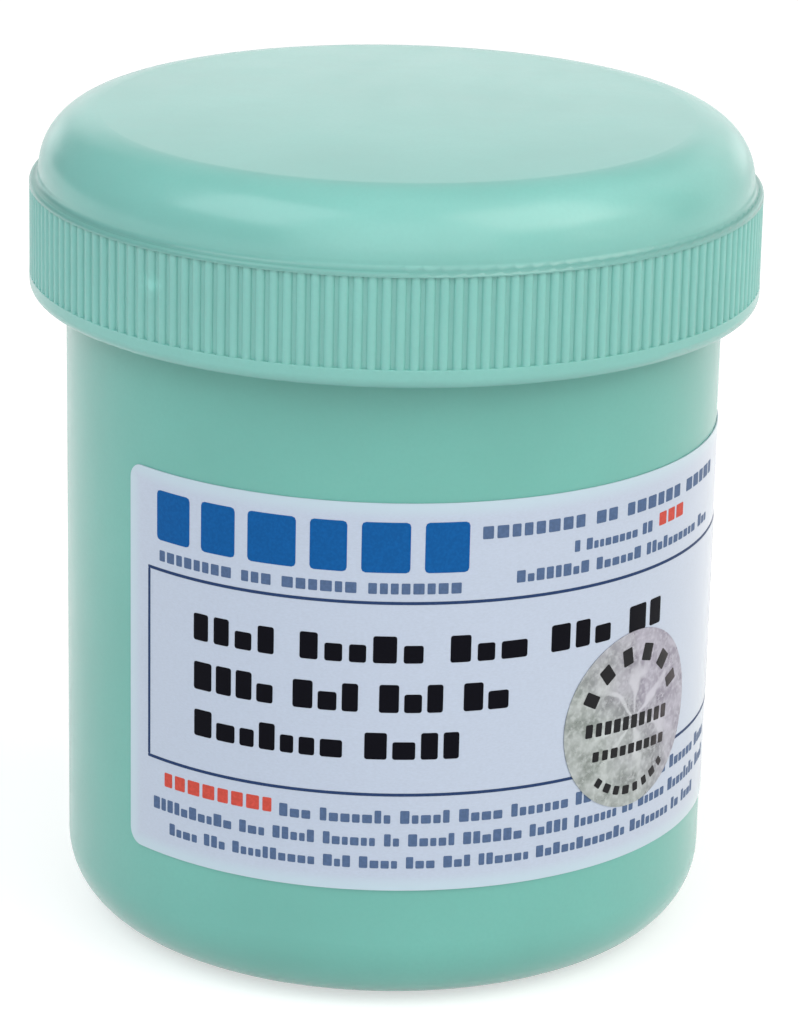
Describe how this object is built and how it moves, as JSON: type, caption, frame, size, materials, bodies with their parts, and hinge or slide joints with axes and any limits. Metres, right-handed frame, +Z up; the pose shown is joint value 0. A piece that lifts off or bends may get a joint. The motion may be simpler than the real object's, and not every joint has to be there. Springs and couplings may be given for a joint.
{
  "type": "flux jar",
  "caption": "Straight-sided screw-top jar of solder flux paste, with a ribbed domed cap that unscrews, a wrap label and a round seal.",
  "frame": {"origin": "centre of the foot ring, on the surface that the jar stands on", "axes": "+Z up along the jar's axis, -Y towards the middle of the front, +X to the viewer's right"},
  "size_m": [0.06, 0.06, 0.0683],
  "materials": {
    "jar_plastic": "satin moulded polypropylene, sea green",
    "cap_plastic": "satin moulded polypropylene, sea green",
    "wad": "white foam sheet",
    "flux": "glossy amber gel",
    "label_paper": "coated label stock, pale lavender",
    "seal_foil": "mottled silver film"
  },
  "bodies": {
    "jar": {"jar": "jar_plastic", "flux_paste": "flux", "label": "label_paper", "seal_sticker": "seal_foil"},
    "wad": {"cap_liner": "wad"},
    "cap": {"cap": "cap_plastic"}
  },
  "joints": [
    {"name": "cap_lift", "type": "slide", "parent": "jar", "child": "wad", "axis": [0, 0, 1], "range_m": [0, 0.0137]},
    {"name": "cap_turn", "type": "hinge", "parent": "wad", "child": "cap", "pos_m": [0, 0, 0.06], "axis": [0, 0, 1], "range_deg": [0, 1170]}
  ],
  "couplings": [
    {"joint": "cap_lift", "follows": "cap_turn", "m_per_rad": 0.00066845}
  ]
}
